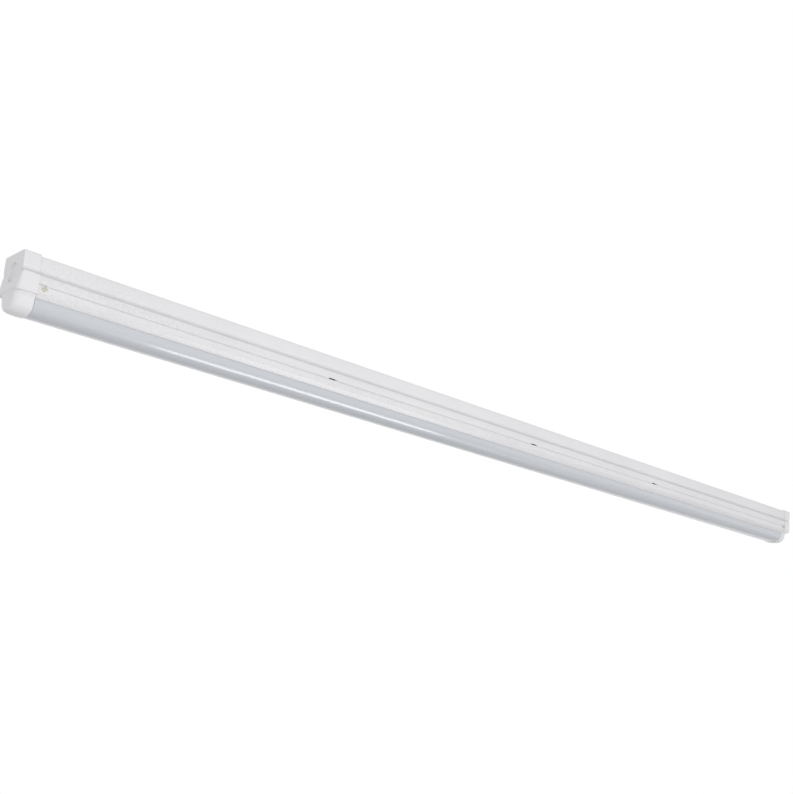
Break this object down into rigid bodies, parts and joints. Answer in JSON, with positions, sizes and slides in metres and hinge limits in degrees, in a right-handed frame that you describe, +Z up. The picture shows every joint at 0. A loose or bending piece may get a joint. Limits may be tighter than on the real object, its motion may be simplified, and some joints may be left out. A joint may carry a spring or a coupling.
{
  "type": "batten light",
  "caption": "Long surface batten light: white sheet-metal spine, drop-down gear tray with LED boards and driver, D-shaped opal diffuser, moulded end caps.",
  "frame": {"origin": "centre of the plane that the fixing pads and the caps' tops share against the ceiling, in the middle of the light's length", "axes": "+X along the light towards its right end seen from the front, +Z up into the ceiling; the front is -Y"},
  "size_m": [1.812, 0.065, 0.0728],
  "materials": {
    "white_sheet": "satin white powder coat",
    "white_moulding": "satin white moulding",
    "opal_trough": "smooth opal plastic",
    "zinc": "zinc plated",
    "brass": "bright",
    "terminal_plastic": "satin",
    "button_plastic": "satin",
    "wire_brown": "smooth insulation",
    "wire_earth": "smooth insulation",
    "wire_red": "smooth insulation",
    "dark_rubber": "matte",
    "white_board": "white solder resist over aluminium",
    "led": "yellow phosphor",
    "driver_sheet": "satin grey white",
    "circuit_board": "green solder resist",
    "winding": "yellow tape over a winding",
    "capacitor": "dark sleeve",
    "rivet_alu": "plain"
  },
  "bodies": {
    "spine": {"spine": "white_sheet", "hanger_left": "zinc", "hanger_right": "zinc", "terminal_block": "terminal_plastic", "terminal_clamps": "brass", "socket": "terminal_plastic", "socket_contacts": "brass", "socket_wires": "wire_brown", "earth_stud": "brass", "earth_nut": "brass", "earth_lead": "wire_earth", "entry_grommet": "dark_rubber", "entry_blank": "terminal_plastic"},
    "end_cap_left": {"end_cap_left": "white_moulding"},
    "end_cap_right": {"end_cap_right": "white_moulding"},
    "button_live": {"button_live": "button_plastic"},
    "button_earth": {"button_earth": "button_plastic"},
    "button_neutral": {"button_neutral": "button_plastic"},
    "gear_tray": {"gear_tray": "white_sheet", "led_board_left": "white_board", "led_board_middle": "white_board", "led_board_right": "white_board", "led_chips": "led", "board_links": "terminal_plastic", "board_connector": "terminal_plastic", "board_rivets": "rivet_alu", "driver_case": "driver_sheet", "driver_lid": "driver_sheet", "driver_board": "circuit_board", "driver_transformer": "winding", "driver_capacitors": "capacitor", "driver_input_terminal": "terminal_plastic", "driver_output_terminal": "terminal_plastic", "driver_screws": "zinc", "plug": "terminal_plastic", "plug_pins": "brass", "mains_wires": "wire_brown", "led_wires": "wire_red", "wire_grommet": "dark_rubber", "wire_clips": "terminal_plastic", "tray_earth_stud": "brass", "tray_earth_nut": "brass", "tray_earth_lead": "wire_earth", "diffuser_clips": "zinc", "clip_rivets": "rivet_alu"},
    "diffuser": {"diffuser": "opal_trough"},
    "fastener_left_front": {"fastener_left_front": "zinc"},
    "fastener_left_back": {"fastener_left_back": "zinc"},
    "fastener_right_front": {"fastener_right_front": "zinc"},
    "fastener_right_back": {"fastener_right_back": "zinc"}
  },
  "joints": [
    {"name": "tray_drop", "type": "slide", "parent": "spine", "child": "gear_tray", "axis": [0, 0, -1], "range_m": [0, 0.08]},
    {"name": "diffuser_pull", "type": "slide", "parent": "gear_tray", "child": "diffuser", "axis": [0, 0, -1], "range_m": [0, 0.06]},
    {"name": "end_cap_left_pull", "type": "slide", "parent": "spine", "child": "end_cap_left", "axis": [-1, 0, 0], "range_m": [0, 0.03]},
    {"name": "end_cap_right_pull", "type": "slide", "parent": "spine", "child": "end_cap_right", "axis": [1, 0, 0], "range_m": [0, 0.03]},
    {"name": "fastener_left_front_turn", "type": "hinge", "parent": "gear_tray", "child": "fastener_left_front", "pos_m": [-0.8725, -0.0309, -0.0411], "axis": [0, -1, 0], "range_deg": [0, 90]},
    {"name": "fastener_left_back_turn", "type": "hinge", "parent": "gear_tray", "child": "fastener_left_back", "pos_m": [-0.8725, 0.0309, -0.0411], "axis": [0, 1, 0], "range_deg": [0, 90]},
    {"name": "fastener_right_front_turn", "type": "hinge", "parent": "gear_tray", "child": "fastener_right_front", "pos_m": [0.8725, -0.0309, -0.0411], "axis": [0, -1, 0], "range_deg": [0, 90]},
    {"name": "fastener_right_back_turn", "type": "hinge", "parent": "gear_tray", "child": "fastener_right_back", "pos_m": [0.8725, 0.0309, -0.0411], "axis": [0, 1, 0], "range_deg": [0, 90]},
    {"name": "button_live_push", "type": "slide", "parent": "spine", "child": "button_live", "axis": [0, 0, 1], "range_m": [0, 0.002], "stiffness_N_per_m": 400, "springref_m": -0.002},
    {"name": "button_earth_push", "type": "slide", "parent": "spine", "child": "button_earth", "axis": [0, 0, 1], "range_m": [0, 0.002], "stiffness_N_per_m": 400, "springref_m": -0.002},
    {"name": "button_neutral_push", "type": "slide", "parent": "spine", "child": "button_neutral", "axis": [0, 0, 1], "range_m": [0, 0.002], "stiffness_N_per_m": 400, "springref_m": -0.002}
  ]
}
